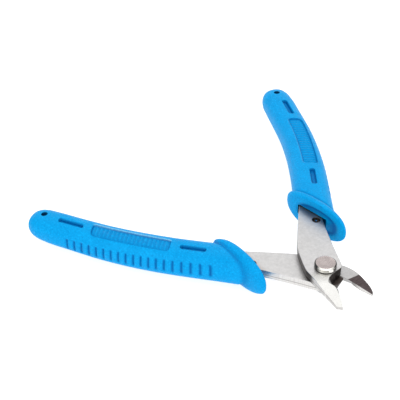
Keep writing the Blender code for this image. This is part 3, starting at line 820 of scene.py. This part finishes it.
def mark_depth(along, offset):
    """How far the moulded marks of a grip's face lie below its skin."""
    depth = np.zeros_like(along)
    for start, end in SLOTS:
        apart = box_distance(along - (start + end) / 2, offset - MARK_OFFSET, (end - start) / 2,
                             SLOT_HALF_WIDTH, SLOT_CORNER)
        depth = np.maximum(depth, SLOT_DEPTH * smoothstep(0.12, -0.22, apart))
    start, end = PANEL
    apart = box_distance(along - (start + end) / 2, offset - MARK_OFFSET, (end - start) / 2,
                         PANEL_HALF_WIDTH, PANEL_CORNER)
    ridge = 0.5 + 0.5 * np.cos(2 * np.pi * (along - start) / RIDGE_PITCH)
    floor = PANEL_DEPTH - RIDGE_HEIGHT * ridge * smoothstep(-0.35, -0.8, apart)
    return np.maximum(depth, floor * smoothstep(0.12, -0.22, apart))


def mark_tone(along, offset):
    """How much shade is painted in the marks (their walls more than their floors), and how strong the
    painted highlight on the panel's inner rim is."""
    tone = np.zeros_like(along)
    for start, end in SLOTS:
        apart = box_distance(along - (start + end) / 2, offset - MARK_OFFSET, (end - start) / 2,
                             SLOT_HALF_WIDTH, SLOT_CORNER)
        floor = 0.35 * smoothstep(-0.3, -0.8, apart)
        tone = np.maximum(tone, smoothstep(0.15, -0.1, apart) * (1.0 - floor))
    start, end = PANEL
    apart = box_distance(along - (start + end) / 2, offset - MARK_OFFSET, (end - start) / 2,
                         PANEL_HALF_WIDTH, PANEL_CORNER)
    ridge = 0.5 - 0.5 * np.cos(2 * np.pi * (along - start) / RIDGE_PITCH)
    wall = 0.85 * np.exp(-((apart + 0.12) / 0.24) ** 2)
    tone = np.maximum(tone, np.maximum(wall, smoothstep(0, -0.3, apart) * (0.10 + 0.28 * ridge)))
    inner = smoothstep(0.3, -0.6, offset - MARK_OFFSET + 0.8 * PANEL_HALF_WIDTH)
    return tone, inner * np.exp(-((apart - 0.12) / 0.26) ** 2)


def lip_bow(along):
    """How far the middle of a cross-section bows towards the pivot at this distance."""
    start, full, still, end = LIP_BOW_SPAN
    rise = np.clip((along - start) / (full - start), 0, 1)
    return LIP_BOW * rise * np.clip((end - along) / (end - still), 0, 1)


def groove_depth(along, up):
    """How far the finger grooves lie below the skin of the grip's outer side."""
    number = np.clip(np.round((along - GROOVE_FIRST) / GROOVE_PITCH), 0, GROOVES - 1)
    apart = (along - GROOVE_FIRST - GROOVE_PITCH * number) / GROOVE_SPREAD
    lift = GROOVE_LIFT * (1 - number / (GROOVES - 1))
    low, high = GROOVE_Z
    ends = smoothstep(low, low + 1.0, up - lift) * smoothstep(high, high - 1.0, up - lift)
    return GROOVE_DEPTH * np.exp(-math.log(2) * apart ** 2) * ends


def grip_surface(side):
    """Rings of points on the grip's skin with its marks and grooves, in the row frame."""
    along = ring_alongs()
    out, wide, tall, slant = stations(along).T
    power = 2 / GRIP_ROUNDNESS
    offsets = np.arange(-FACE_REACH, FACE_REACH + FACE_STEP / 2, FACE_STEP)
    columns = []
    shrink = np.minimum(1, wide / 5.75)
    for face in (1, -1):
        share = face * -offsets[None, :] * (shrink / wide)[:, None]
        rise = face * (1 - np.abs(share) ** GRIP_ROUNDNESS) ** (1 / GRIP_ROUNDNESS)
        columns.append((share, rise, np.full(len(offsets), face)))
        # from this face's last column round the edge to the other face's first
        first = np.arctan2(np.abs(rise[:, -1]) ** (1 / power), np.abs(share[:, -1]) ** (1 / power))
        count = INNER_COLUMNS if face > 0 else OUTER_COLUMNS
        turn = first[:, None] * np.linspace(1, -1, count + 2)[None, 1:-1]
        flank = -face * np.cos(turn) ** power
        climb = face * np.sign(turn) * np.abs(np.sin(turn)) ** power
        columns.append((flank, climb, np.zeros(count)))
    share = np.concatenate([c[0] for c in columns], axis=1)
    rise = np.concatenate([c[1] for c in columns], axis=1)
    face = np.concatenate([c[2] for c in columns])[None, :]
    across = share * wide[:, None]
    up = rise * tall[:, None]
    groove = groove_depth(along[:, None], up) * smoothstep(0.75, 0.93, share)
    across = across - groove
    place = along[:, None] - across * np.tan(np.radians(slant))[:, None]
    place = place - lip_bow(along)[:, None] * (1 - share ** 2)
    reach = out[:, None] + across
    within = np.clip(place, GRIP_STATIONS[0, 0], GRIP_STATIONS[-1, 0])
    centre = stations(within.ravel())[:, 0].reshape(place.shape)
    depth = mark_depth(place, reach - centre) * np.abs(face)
    up = up - np.sign(up) * depth
    # a line of painted shade along the furrow behind the lip
    crease_shade = 0.5 * np.exp(-((along[:, None] - CREASE[0]) / CREASE[1]) ** 2)
    tone, rim_highlight = mark_tone(place, reach - centre)
    # painted shade: in the grooves, on the marks and along the crease
    recess_shade = np.clip(groove / GROOVE_DEPTH + tone * np.abs(face) + crease_shade, 0, 1)
    # the painted highlight on the panel's inner rim, as strong as each grip asks
    rim_highlight = rim_highlight * np.abs(face) * PANEL_RIM_HIGHLIGHT[side]
    return side_points(side, place, reach, GRIP_MIDDLE[side] + up), recess_shade, rim_highlight


def pocket_cutter(side, material):
    """The cavity that takes the blade's tang, open at the lip."""
    outer, nose, inner = tang_outline(POCKET_CLEARANCE)
    grow = POCKET_CLEARANCE
    mouth_outer = [(s, t + grow) for s, t in smooth_through(ARM_OUTER[4:-1], 3)]
    mouth_inner = [(s, t - grow) for s, t in smooth_through(ARM_INNER[1:4], 3)]
    outline = np.array(mouth_outer + outer + nose + inner + mouth_inner)
    low, high = PLATE[side]
    rings = [side_points(side, outline[:, 0], outline[:, 1], z) for z in (low - grow, high + grow)]
    return loft("core", rings, [material])


def mouth_cutter(side, material):
    """The wider opening of the pocket, behind the lip's slanting front."""
    outer_along = np.linspace(MOUTH_START, MOUTH_ENDS[0], 5)
    inner_along = np.linspace(MOUTH_ENDS[1], MOUTH_START, 6)
    outer = np.interp(outer_along, *zip(*ARM_OUTER)) + MOUTH_OUTER_CLEARANCE
    inner = np.interp(inner_along, *zip(*ARM_INNER[::-1])) - MOUTH_CLEARANCE
    along = np.concatenate([outer_along, inner_along])
    out = np.concatenate([outer, inner])
    low, high = PLATE[side]
    rings = [side_points(side, along, out, z) for z in (low - MOUTH_CLEARANCE, high + MOUTH_CLEARANCE)]
    return loft("core_mouth", rings, [material])


def make_grip(side, material, shadow):
    """One moulding with its pocket, marks and end hole; shadow is the material inside them."""
    rings, recess_shade, rim_highlight = grip_surface(side)
    count = rings.shape[1]
    # the lip's front is hollowed round the blade, and the far end closes with a small flat
    hollow = side_points(side, LIP_DISH, 0, 0) - side_points(side, 0, 0, 0)
    centre = rings[0].mean(axis=0)
    front = [centre + share * (rings[0] - centre) + dish * hollow for share, dish, _ in LIP_FRONT]
    back = rings[-1] + 0.5 * (rings[-1].mean(axis=0) - rings[-1])
    grip = loft(WORD[side] + "_grip_moulding", [*front, *rings, back], [material])
    # painted shade on the lip's front face, deepest round the blade
    front_shade = np.repeat([tone for _, _, tone in LIP_FRONT], count)
    for name, values in (("recess_shade", np.concatenate([front_shade, recess_shade.ravel(), np.zeros(count)])),
                         ("rim_highlight", np.concatenate([0 * front_shade, rim_highlight.ravel(), np.zeros(count)]))):
        layer = grip.data.attributes.new(name, "FLOAT", "POINT")
        layer.data.foreach_set("value", values.astype(np.float32))
    along, radius, depth = END_HOLE
    out, _, tall, _ = stations(along)[0]
    top = GRIP_MIDDLE[side] + tall
    turns = 2 * np.pi * np.arange(32) / 32
    drill = [side_points(side, along + r * np.cos(turns), out + r * np.sin(turns), z)
             for r, z in ((0.5 * radius, top - depth), (radius, top - depth + 0.35), (radius, top - 0.3),
                          (radius + 0.35, top + 0.05), (radius + 1.5, top + 2))]
    carve(grip, [pocket_cutter(side, shadow), mouth_cutter(side, shadow),
                 loft("core_pin", drill, [shadow])])
    shade(grip, 48)
    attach(grip, WORD[side] + "_half")
    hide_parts(WORD[side] + "_grip")


# ---------------------------------------------------------------- studio

def make_floor():
    half = FLOOR_HALF
    floor = mesh_object("floor", [(-half, -half, 0), (half, -half, 0), (half, half, 0), (-half, half, 0)],
                        [(0, 1, 2, 3)], [floor_paper("floor_paper")])
    floor.location.z = -FLOOR_DROP


def towards(azimuth, elevation):
    """The unit vector from the object to a place at these angles in degrees; azimuth 0 is at -Y."""
    a, e = math.radians(azimuth), math.radians(elevation)
    return Vector((math.sin(a) * math.cos(e), -math.cos(a) * math.cos(e), math.sin(e)))


def smooth_range(tree, value, low, high, out_low, out_high):
    node = tree.nodes.new("ShaderNodeMapRange")
    node.interpolation_type = "SMOOTHSTEP"
    for key, number in (("From Min", low), ("From Max", high), ("To Min", out_low), ("To Max", out_high)):
        node.inputs[key].default_value = number
    tree.links.new(value, node.inputs["Value"])
    return node.outputs["Result"]


def make_world():
    """A white studio, brighter on the camera's side than overhead."""
    world = bpy.data.worlds.new("studio")
    bpy.context.scene.world = world
    world.use_nodes = True
    tree = world.node_tree
    background = tree.nodes["Background"]
    where = tree.nodes.new("ShaderNodeTexCoord").outputs["Generated"]
    ahead = tree.nodes.new("ShaderNodeVectorMath")
    ahead.operation = "DOT_PRODUCT"
    ahead.inputs[1].default_value = towards(VIEW_AZIMUTH, FRONT_LOW)
    across = tree.nodes.new("ShaderNodeVectorMath")
    across.operation = "DOT_PRODUCT"
    across.inputs[1].default_value = towards(VIEW_AZIMUTH + 90, 0)
    aside = tree.nodes.new("ShaderNodeMath")
    aside.operation = "ABSOLUTE"
    product = tree.nodes.new("ShaderNodeMath")
    product.operation = "MULTIPLY"
    tree.links.new(where, ahead.inputs[0])
    tree.links.new(where, across.inputs[0])
    tree.links.new(across.outputs["Value"], aside.inputs[0])
    tree.links.new(smooth_range(tree, ahead.outputs["Value"], 0.1, 1.0, *SKY), product.inputs[0])
    tree.links.new(smooth_range(tree, aside.outputs[0], *SIDE_FLAGS[:2], 1.0, SIDE_FLAGS[2]),
                   product.inputs[1])
    tree.links.new(product.outputs[0], background.inputs["Strength"])
    background.inputs["Color"].default_value = (1.0, 1.0, 1.0, 1.0)


def area_light(name, azimuth, elevation, distance, size, power):
    data = bpy.data.lights.new(name, "AREA")
    data.shape = "DISK"
    data.size = size
    data.energy = power
    lamp = bpy.data.objects.new(name, data)
    bpy.context.scene.collection.objects.link(lamp)
    back = towards(azimuth, elevation)
    lamp.location = back * distance
    lamp.rotation_mode = "QUATERNION"
    lamp.rotation_quaternion = back.to_track_quat("Z", "Y")


def make_camera():
    data = bpy.data.cameras.new("camera")
    data.lens = LENS
    data.sensor_width = 36.0
    data.clip_start = 0.01
    data.clip_end = 20.0
    camera = bpy.data.objects.new("camera", data)
    bpy.context.scene.collection.objects.link(camera)
    back = towards(VIEW_AZIMUTH, VIEW_ELEVATION)
    middle = (PLATE[-1][1] + PLATE[1][0]) / 2
    target = Vector((PIVOT.x + VIEW_TARGET[0] * MM, PIVOT.y + VIEW_TARGET[1] * MM, middle * MM))
    camera.location = target + back * VIEW_DISTANCE * MM
    right = towards(VIEW_AZIMUTH + 90, 0)
    up = back.cross(right)
    roll = math.radians(VIEW_ROLL)
    right, up = (right * math.cos(roll) + up * math.sin(roll),
                 up * math.cos(roll) - right * math.sin(roll))
    camera.rotation_mode = "QUATERNION"
    camera.rotation_quaternion = Matrix((right, up, back)).transposed().to_quaternion()
    bpy.context.scene.camera = camera


def make_studio():
    make_floor()
    make_world()
    for name, turn, elevation, distance, size, power in LAMPS:
        area_light(name, VIEW_AZIMUTH + turn, elevation, distance, size, power)
    make_camera()
    bpy.context.scene.view_settings.view_transform = "Standard"


# ---------------------------------------------------------------- build

def build():
    for side in (1, -1):
        word = WORD[side]
        low, high = PLATE[side]
        jaw = math.radians(-side * OPEN_HALF_ANGLE)
        # the lower blade gets painted shade round its throat corner
        corner = None
        if side < 0:
            corner = tuple(side_points(side, *THROAT_SHADE[:2], high))
        make_blade(side, (blasted_steel(word + "_blasted_steel", BLASTED_TONE, side, corner),
                          sheared_steel(word + "_sheared_steel", low, high),
                          ground_steel(word + "_ground_bevel", *BEVEL_TONES, jaw, 0.3),
                          ground_steel(word + "_shear_face", *SHEAR_FACE_DARK_REFLECTION_TONES, jaw, 0.3)))
        make_grip(side, grip_plastic(word + "_grip_plastic"), grip_plastic(word + "_grip_core", CORE_SHADE))
    make_pivot(turned_steel("head_steel", HEAD_TONE, 0.24),
               turned_steel("rim_steel", RIM_TONE, 0.13, RIM_PAINTED_DARK_SIDES),
               turned_steel("gap_painted_shade_steel", GAP_PAINTED_SHADE, 0.4),
               turned_steel("plain_steel", PLAIN_TONE, 0.34))
    make_spring(turned_steel("wire_steel", WIRE_TONE, 0.22))
    make_studio()


build()
